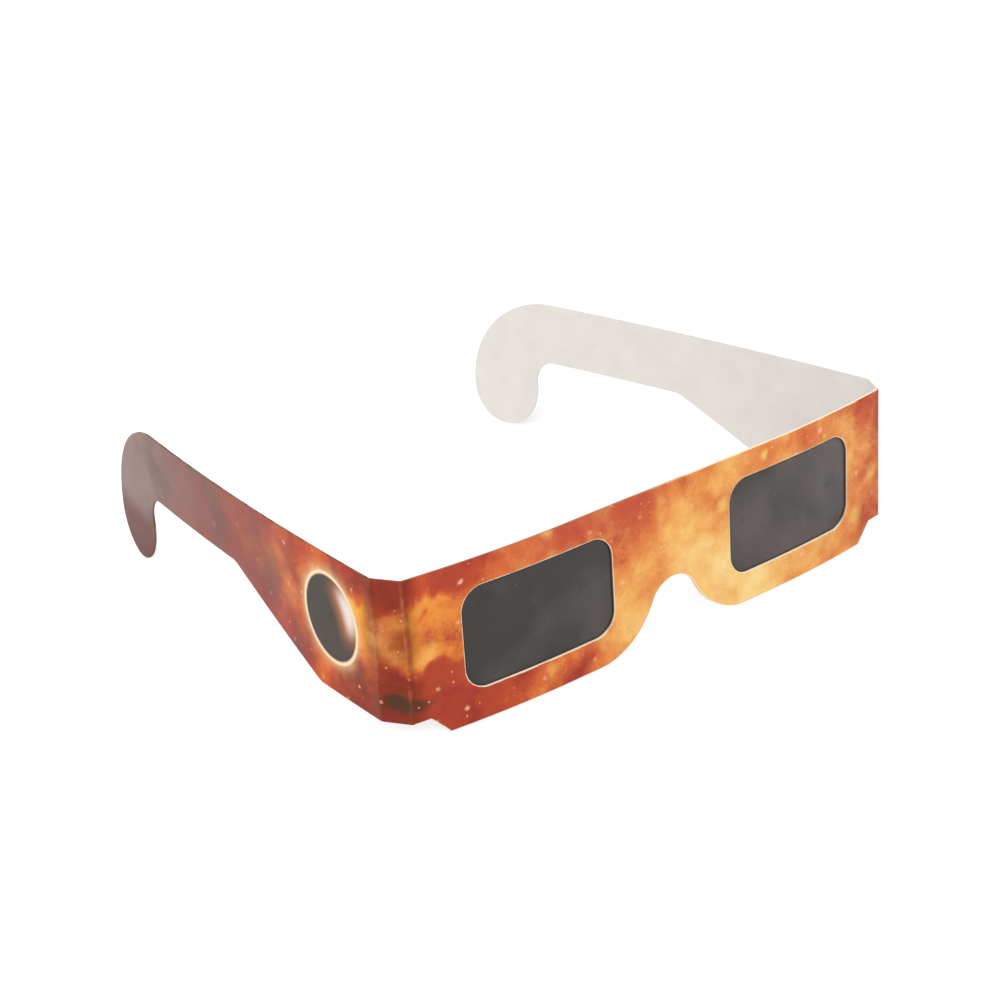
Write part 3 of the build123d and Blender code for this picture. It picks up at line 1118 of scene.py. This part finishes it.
def thin_inks(colour, place, u, v, heat):
    """Each ink covers by a cloud or the heat, times soft steps along or up the sheet; the brown
    over the strip is painted shade.
    """
    across = abs(u)
    deep = smooth_step(cloud(stirred(place, 0.1, 10.0), 0.085, detail=4.0), 0.5, 0.66)
    beside = smooth_step(across, *before_disc), smooth_step(across, *behind_disc)
    off_disc = compute("MAXIMUM", *beside)
    deep = deep * smooth_step(heat, 0.74, 0.44) * 0.6 * (off_disc * 0.75 + 0.25)
    colour = blend_colour(deep, colour, wine)
    warm_corner = near(u, corner_u, 13.0, 6.0) * smooth_step(heat, 0.46, 0.66)
    colour = blend_colour(warm_corner * 0.55, colour, amber)
    high = smooth_step(v + sway(place, 0.1, 22.0, detail=4.0), *high_up)
    colour = blend_colour(span(u, *rosy_span) * high * 0.55, colour, rosy_wine)
    on_strip = near(u, strip_u, 8.0, 3.0)
    patchy = smooth_step(cloud(place, 0.16, detail=5.0), 0.34, 0.62)
    colour = blend_colour(on_strip * patchy * 0.8, colour, ochre)
    # Painted shade: the right corner strip is darkened brown.
    colour = blend_colour(on_strip * 0.28, colour, strip_shade)
    return blend_colour(knots(place, u, v) * 0.85, colour, knot_brown)


print("thin inks", wine, amber, rosy_wine, ochre, strip_shade, knot_brown)

# %% [markdown]
# Sparks of light are scattered over the clouds: a few broad gold ones near the front, and fine
# pale ones everywhere. Painting them by hand would show a hand. Cells of random size and shape
# hold one speck each, and each cell's own random numbers say whether it has one, how large and
# how bright.

# %% Scatter the specks
gold_specks = dict(per_millimetre=0.1, largest=3.8, share=0.55, strength=0.8, tint=(250, 206, 112))
pale_specks = dict(per_millimetre=0.15, largest=1.1, share=0.5, strength=0.9, tint=(250, 196, 158))
fine_specks = dict(per_millimetre=0.36, largest=0.4, share=0.22, strength=0.75)
fine_specks["tint"] = (253, 212, 164)


def add_specks(colour, place, per_millimetre, largest, share, strength, tint):
    """Soft uneven specks near the centres of random cells, where a cell's own number is high.

    A second and a third number of the cell set the size and the strength, from 0.3 of the most up.
    """
    place = stirred(place, 0.7 / largest, largest * 0.9)
    inputs = {"Vector": place, "Scale": per_millimetre}
    cells = add_node(place.tree, "ShaderNodeTexVoronoi", inputs, voronoi_dimensions="2D")
    random = add_node(place.tree, "ShaderNodeSeparateColor", {0: Signal(cells, "Color")})
    size = Signal(random, 1) * (largest * 0.7) + largest * 0.3
    dot = smooth_step(Signal(cells, "Distance") / per_millimetre / size, 1.0, 0.1)
    bright = Signal(random, 2) * (strength * 0.7) + strength * 0.3
    return blend_colour(dot * ((Signal(random, 0) > 1 - share) * bright), colour, tint)


def sparks(colour, place, u, heat):
    """Broad gold specks where the print is hot and near the front, then two sizes of pale ones."""
    gold = add_specks(colour, place, **gold_specks)
    warm = smooth_step(abs(u), 92.0, 72.0) * smooth_step(heat, 0.42, 0.6)
    colour = blend_colour(warm, colour, gold)
    colour = add_specks(colour, place, **pale_specks)
    return add_specks(colour, place, **fine_specks)


print("largest specks", [kind["largest"] for kind in (gold_specks, pale_specks, fine_specks)], "mm")

# %% [markdown]
# Towards the ears the glow cools through a dusky rose to mauve, and the tip of each hook is maroon.
# The mauve is partly print and partly a painted sheen that grows towards the hook, and the maroon
# tip is where that sheen stops. A second scale of colours along the sheet would end in straight
# bands, so the place is shifted by a slow cloud first. Near the disc the ink is richer, and smoke
# lies over the temples.

# %% Cool the print towards the ears
dusk_start, dusk_end = 100.0, 178.0
sheen_edge, tip_edge, tip_height = (158.0, 184.0), (182.0, 170.0), (9.0, 17.0)
disc_span, smoke_edge = (-112.0, -94.0, -77.5, -74.5), (94.0, 112.0)
dusky_rose, dusky_maroon = (142, 76, 66), (100, 38, 32)
dusky_mauve, sheen_mauve, smoke_brown = (132, 98, 91), (146, 119, 111), (98, 84, 76)
richer = {"Hue": 0.503, "Saturation": 1.36, "Value": 1.05}


def dusk(colour, place, u, v):
    """Rose, then mauve by the drifted distance from the nose, paler towards the hook as painted
    sheen, and maroon low on the hook's tip.
    """
    across = abs(u)
    drifted = across + sway(place, 0.045, 40.0, detail=4.0)
    rose = smooth_step(drifted, dusk_start, dusk_start + 28.0) * 0.8
    colour = blend_colour(rose, colour, dusky_rose)
    tip = smooth_step(v + sway(place, 0.15, 5.0), *tip_height)
    tip = compute("MAXIMUM", tip, smooth_step(across, *tip_edge))
    # Painted sheen: the mauve grows paler and greyer towards the hook.
    mauve = blend_colour(smooth_step(drifted, *sheen_edge), dusky_mauve, sheen_mauve)
    late = smooth_step(drifted, dusk_start + 26.0, dusk_end) * 0.92
    return blend_colour(late, colour, blend_colour(tip, dusky_maroon, mauve))


def richer_by_disc(colour, u):
    """The same colour with more saturation, over the right temple's root only."""
    rich = Signal(add_node(colour.tree, "ShaderNodeHueSaturation", {**richer, "Color": colour}))
    return blend_colour(span(u, *disc_span), colour, rich)


def smoke(colour, place, u):
    """A grey-brown haze: peaks of a stirred cloud, from behind the disc on."""
    drifts = smooth_step(cloud(stirred(place, 0.08, 8.0), 0.06), 0.46, 0.7)
    return blend_colour(drifts * smooth_step(abs(u), *smoke_edge) * 0.5, colour, smoke_brown)


print("dusk from", dusk_start, "to", dusk_end, "mm along the sheet")

# %% [markdown]
# The disc on the outside of the right temple is a plain diagram of a partly covered sun: a dark
# round, a thin pale rim, a flare of light at one side and a short glow. It needs no drawing. The
# distance to one centre gives the round and its rim, two more give the flare, and the glow fades
# away from the rim.

# %% Draw the covered sun
sun_u, sun_v, sun_radius = -(rear_crease_u + 15.9), 21.3, 9.5
shade_shift, flare_shift = (-5.8, -1.8), (6.2, 3.2)
disc_dark, disc_pale, glow_cream = (58, 50, 44), (74, 64, 57), (240, 202, 146)
flare_orange, flare_white, rim_cream = (190, 114, 68), (240, 226, 216), (248, 230, 196)


def from_sun(place, shift=(0, 0)):
    """Distance on the flat sheet to the sun's middle, or to that point shifted."""
    inputs = {0: place, 1: (sun_u + shift[0], sun_v + shift[1], 0)}
    measured = add_node(place.tree, "ShaderNodeVectorMath", inputs, operation="DISTANCE")
    return Signal(measured, "Value")


def covered_sun(colour, place):
    """Lays the diagram over a colour: round, rim and glow by one distance, the flare by two.

    The glow is e to the power of minus the distance past the rim over an uneven reach. The flare
    lies past the edge of a round shifted one way and near the centre of one shifted the other way.
    """
    radius = from_sun(place)
    past_rim = compute("MAXIMUM", radius - (sun_radius + 0.3), 0.0)
    glow = compute("EXPONENT", past_rim / (cloud(place, 0.3, detail=2.0) * -2.0 - 0.2))
    colour = blend_colour(glow * 0.85, colour, glow_cream)
    shade = from_sun(place, shade_shift) - sun_radius
    flare = from_sun(place, flare_shift)
    halo = smooth_step(shade, -2.6, 2.6) * smooth_step(flare, 9.5, 2.5)
    crescent = smooth_step(shade, 0.8, 4.0) * smooth_step(flare, 6.6, 1.4)
    disc = blend_colour(cloud(place, 0.5), disc_dark, disc_pale)
    disc = blend_colour(halo * 0.85, disc, flare_orange)
    disc = blend_colour(crescent, disc, flare_white)
    colour = blend_colour(smooth_step(radius, sun_radius, sun_radius - 0.5), colour, disc)
    return blend_colour(near(radius, sun_radius + 0.25, 0.55, 0.1), colour, rim_cream)


print(f"sun {2 * sun_radius:.0f} mm across, {-sun_u - rear_crease_u:.1f} mm behind the rear crease")

# %% [markdown]
# Handling shows first where the card bends and where it is cut. A crease loses ink on its ridge,
# and that pale line also serves as a painted highlight; beside it lies a painted shade, on the
# right side more than on the left. A cut edge shows the paper along a hair-thin line, because the
# print cracks as the die comes through. The pieces carry each point's distance to the nearest cut
# as an attribute, so wear can follow it.

# %% Wear the print and paint light and shade at the creases
crease_shade, worn_ink_and_highlight, cracked_ink = (118, 46, 30), (226, 134, 104), (252, 234, 206)
held_edge, right_side_ramp = (12.0, -14.0), (60.0, -60.0)
grimy_band, front_crease_shade, rear_crease_shade = 0.7, 0.4, 0.22


def crease_wear_and_light(colour, place, u):
    """A faint broken line on each ridge, of worn ink and painted highlight, and a soft line of
    painted shade towards the nose.
    """
    broken = smooth_step(cloud(mapped(place, Scale=(1.0, 0.5, 1.0)), 0.3, detail=5.0), 0.46, 0.7)
    towards_right = smooth_step(u, *right_side_ramp)
    across = abs(u)
    for middle, depth in ((front_crease_u, front_crease_shade), (rear_crease_u, rear_crease_shade)):
        # Painted shade beside each crease, towards the nose and stronger on the right; the pale
        # ridge line is worn ink and a painted highlight.
        fold_shade = near(across, middle - 0.6, 0.9, 0.1) * (towards_right * depth)
        colour = blend_colour(fold_shade, colour, crease_shade)
        worn_and_lit = near(across, middle, 0.5, 0.05) * broken
        colour = blend_colour(worn_and_lit * 0.32, colour, worn_ink_and_highlight)
    return colour


def cracked_edge(colour, place, u, v):
    """Bare paper nearer to a cut than an uneven limit, on the front only, not under its grime."""
    limit = cloud(place, 0.25, detail=6.0, roughness=0.7) * 0.46 - 0.08
    on_front = abs(u) < front_crease_u - crease_gap
    grimy_top = (v > front_height - grimy_band) * smooth_step(u, *held_edge)
    cracked = (cut_distance(place.tree) < limit) * on_front * (0.9 - grimy_top * 0.9)
    return blend_colour(cracked, colour, cracked_ink)


def card_bump(place, metres):
    """Fine unevenness of coated card: two sizes of noise added up and read as height."""
    return bumped(cloud(place, 2.4) + cloud(place, 0.3, detail=2.0), metres, strength=0.6)


print("wear at", round(front_crease_u, 2), "and", round(rear_crease_u, 2), "mm along the sheet")

# %% [markdown]
# Now the layers go on in the order in which they came to be: the clouds, the inks over them, the
# disc, the wear with the painted light and shade of the creases, and the bare paper where the print
# ends under the bottom fold. The ink has a dull sheen that is a little uneven.

# %% Finish the printed card
print_end, print_grain, bare_white = -3.2, 0.00002, (230, 224, 218)
printed, tree, shader = start_material("printed_card", Specular_IOR_Level=0.12)
place = sheet_place(tree)
u, v = axes_of(place)[:2]
heat = cloud_heat(place, u, v)
colour = colour_scale(heat, ink_scale)
colour = thin_inks(colour, place, u, v, heat)
colour = sparks(colour, place, u, heat)
colour = dusk(colour, place, u, v)
colour = richer_by_disc(colour, u)
colour = smoke(colour, place, u)
colour = covered_sun(colour, place)
colour = crease_wear_and_light(colour, place, u)
colour = blend_colour(v < print_end, colour, bare_white)
colour = cracked_edge(colour, place, u, v)
sheen = cloud(place, 0.2) * 0.14 + 0.3
feed(shader, Base_Color=colour, Roughness=sheen, Normal=card_bump(place, print_grain))
print("print has", len(tree.nodes), "nodes")

# %% [markdown]
# The inside of the card is bare, uncoated board. It is off-white rather than white, a little
# warmer in places, with the faint cloudiness that pulp has when light falls across it. One flat
# colour would look like plastic, so slow noise mixes two whites and fine noise adds darker
# flecks.

# %% Finish the bare side
cool_white, warm_white, fleck_grey = (226, 221, 215), (234, 230, 224), (190, 180, 168)
pulp_grain = 0.00003
bare, tree, shader = start_material("bare_card", Specular_IOR_Level=0.3)
place = sheet_place(tree)
pulp = cloud(place, 0.12, detail=7.0, roughness=0.65)
colour = blend_colour(smooth_step(pulp, 0.25, 0.8), cool_white, warm_white)
flecks = smooth_step(cloud(place, 1.9, detail=5.0, roughness=0.7), 0.66, 0.8)
colour = blend_colour(flecks * 0.2, colour, fleck_grey)
feed(shader, Base_Color=colour, Roughness=pulp * 0.2 + 0.62, Normal=card_bump(place, pulp_grain))
print("bare side has", len(tree.nodes), "nodes")

# %% [markdown]
# A cut edge shows torn fibres. They stay clean round the windows and pick up a peach stain in the
# nose cut, and fingers have darkened the top of the front's right half, where it is held. The
# window walls that face the wearer's right are darkened brown as painted shade. An edge is less
# than half a millimetre wide, so its pattern reads the piece's own coordinates, in which the wall's
# height and depth are plain to tell.

# %% Finish the cut edges
nose_peach, wall_shade, fibre_depth = (250, 206, 150), (74, 40, 32), 0.00005


def front_stains_and_shade(colour, stained, place):
    """Peach in the nose cut, painted shade on the window walls that face right, grime on the right
    top.

    Each is a soft step across the front times a test of height, and the painted shade leaves the
    peach out.
    """
    x, _, z = axes_of(place)
    nose = smooth_step(abs(x), window_inner, window_inner - 1.5) * (z < nose_height)
    colour = blend_colour(nose * 0.4, colour, nose_peach)
    # Painted shade: window walls whose normal faces the wearer's right are darkened brown.
    facing = axes_of(Signal(add_node(place.tree, "ShaderNodeTexCoord"), "Normal"))[0]
    shaded = smooth_step(facing, -0.35, -0.85) * (z > window_low)
    colour = blend_colour(shaded * (0.8 - nose), colour, wall_shade)
    top = smooth_step(z, front_height - 0.4, front_height - 0.2)
    held = smooth_step(x + sway(place, 0.12, 30.0, detail=4.0), *held_edge)
    return colour, compute("MAXIMUM", stained, top * held)


def cut_edge(name, deep, pale, ink, ink_share, on_front=False):
    """Torn fibres between two paper colours, stained by ink where a cloud passes a limit."""
    material, tree, shader = start_material(name, Specular_IOR_Level=0.2)
    metres = Signal(add_node(tree, "ShaderNodeTexCoord"), "Object")
    place = mapped(metres, Scale=(1 / millimetre,) * 3)
    torn = cloud(place, 2.2, detail=5.0, roughness=0.7)
    colour = blend_colour(torn, deep, pale)
    most = 0.95 - ink_share * 0.5
    stained = smooth_step(cloud(place, 0.35), most - 0.2, most)
    if on_front:
        colour, stained = front_stains_and_shade(colour, stained, place)
    colour = blend_colour(stained * 0.8, colour, ink)
    fibres = bumped(torn, fibre_depth, strength=0.7)
    feed(shader, Base_Color=colour, Roughness=torn * 0.2 + 0.7, Normal=fibres)
    return material


clean_colours = (252, 228, 194), (255, 243, 220), (138, 74, 52)
pale_colours = (222, 215, 208), (236, 231, 225), (206, 194, 182)
# Darker, brown-grey cut edges go on the right strip and temple, and pale ones on the left.
darker_colours = (124, 88, 76), (160, 122, 104), (78, 50, 44)
clean_cut = cut_edge("clean_cut_edge", *clean_colours, ink_share=0.1, on_front=True)
pale_cut = cut_edge("pale_cut_edge", *pale_colours, ink_share=0.1)
darker_cut = cut_edge("stained_cut_edge", *darker_colours, ink_share=0.6)
print("cut edges", clean_cut.name, pale_cut.name, darker_cut.name)

# %% [markdown]
# The filter is a polymer film full of carbon. It is nearly black, but its surface is satin, and it
# carries a haze, faint wipe marks, smudges and a few specks of dust that catch more light than it
# does. It turns paler towards the wearer's left as a painted reflection, and its slow mottling is
# partly haze and partly painted reflection. The card's thickness keeps light out of the film's rim,
# so a thin line there is darker still.

# %% Finish the films
carbon_dark, carbon_reflecting, wipe_grey = (41, 39, 37), (80, 72, 69), (84, 78, 74)
smudge_dark, rim_dark, film_wave = (30, 28, 25), (24, 22, 20), 0.00012
reflection_edge, rim_edge = (-30.0, 50.0), (0.9, 0.2)
dust = dict(per_millimetre=0.22, largest=0.28, share=0.3, strength=0.8, tint=(124, 118, 108))
smoky, tree, shader = start_material("smoky_film", Specular_IOR_Level=0.4)
place = sheet_place(tree)
slow = sway(stirred(place, 0.05, 14.0), 0.045, 3.6, detail=4.0)
# Painted reflection: the film turns paler towards the wearer's left, with slow mottling that is
# partly haze.
haze_and_reflection = smooth_step(axes_of(place)[0], *reflection_edge) * 0.85 + slow
colour = blend_colour(haze_and_reflection, carbon_dark, carbon_reflecting)
wiped = mapped(place, Rotation=(0, 0, 0.9), Scale=(0.35, 1.6, 1))
marks = smooth_step(cloud(wiped, 0.4, detail=5.0), 0.56, 0.8)
colour = blend_colour(marks * 0.14, colour, wipe_grey)
smudges = smooth_step(cloud(place, 0.17, detail=4.0), 0.58, 0.72)
colour = blend_colour(smudges * 0.45, colour, smudge_dark)
colour = add_specks(colour, place, **dust)
rim = smooth_step(cut_distance(tree), *rim_edge)
colour = blend_colour(rim * 0.75, colour, rim_dark)
waves = bumped(cloud(place, 0.22, detail=2.0), film_wave, strength=0.5)
feed(shader, Base_Color=colour, Roughness=marks * 0.2 + 0.3, Normal=waves)
print("film has", len(tree.nodes), "nodes")

# %% [markdown]
# The adhesive between the two layers is a thin skin of dried glue, and no side of the glasses
# shows it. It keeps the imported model's own solid and only gets a finish, pale and a little
# streaky.

# %% Finish the adhesive
glue_dark, glue_pale = (222, 214, 196), (238, 234, 222)
glue, tree, shader = start_material("dried_adhesive")
streaks = cloud(Signal(add_node(tree, "ShaderNodeTexCoord"), "Object"), 400.0, detail=4.0)
colour = blend_colour(streaks, glue_dark, glue_pale)
feed(shader, Base_Color=colour, Roughness=streaks * 0.3 + 0.35)
adhesive = frame["nodes"]["adhesive_layer"].data
adhesive.materials.clear()
adhesive.materials.append(glue)
print("adhesive has", len(tree.nodes), "nodes")

# %% [markdown]
# ## Dressing the pieces
# Every card piece gets its finishes in the same order, because the mesh helper has already marked
# which face belongs to which: print outside, bare card inside, and a cut edge. The front has the
# clean edge. The right strip and temple have darker, brown-grey cut edges, and the left ones are
# pale.

# %% Put the finishes on


def put_on(piece, *materials):
    """Fills a piece's slots in the order printed side, bare side and cut edge."""
    for material in materials:
        piece.data.materials.append(material)


cut_edges = {"front": clean_cut, "left": pale_cut, "right": darker_cut}
for piece in printed_pieces:
    put_on(piece, printed, bare, cut_edges[piece.name.split("_")[0]])
for piece in films.values():
    put_on(piece, smoky, smoky, smoky)
print("dressed", len(printed_pieces) + len(films), "pieces")

# %% [markdown]
# ## Check the size and finish
# The dressed glasses must fill the same box as the imported model, so the largest difference
# between the two boxes is printed.

# %% Compare the boxes and finish
bpy.context.view_layer.update()
look_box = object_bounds()
gaps = [abs(a - b) / millimetre for k in (0, 1) for a, b in zip(cad_box[k], look_box[k])]
print(f"largest difference of the boxes {max(gaps):.3f} mm")
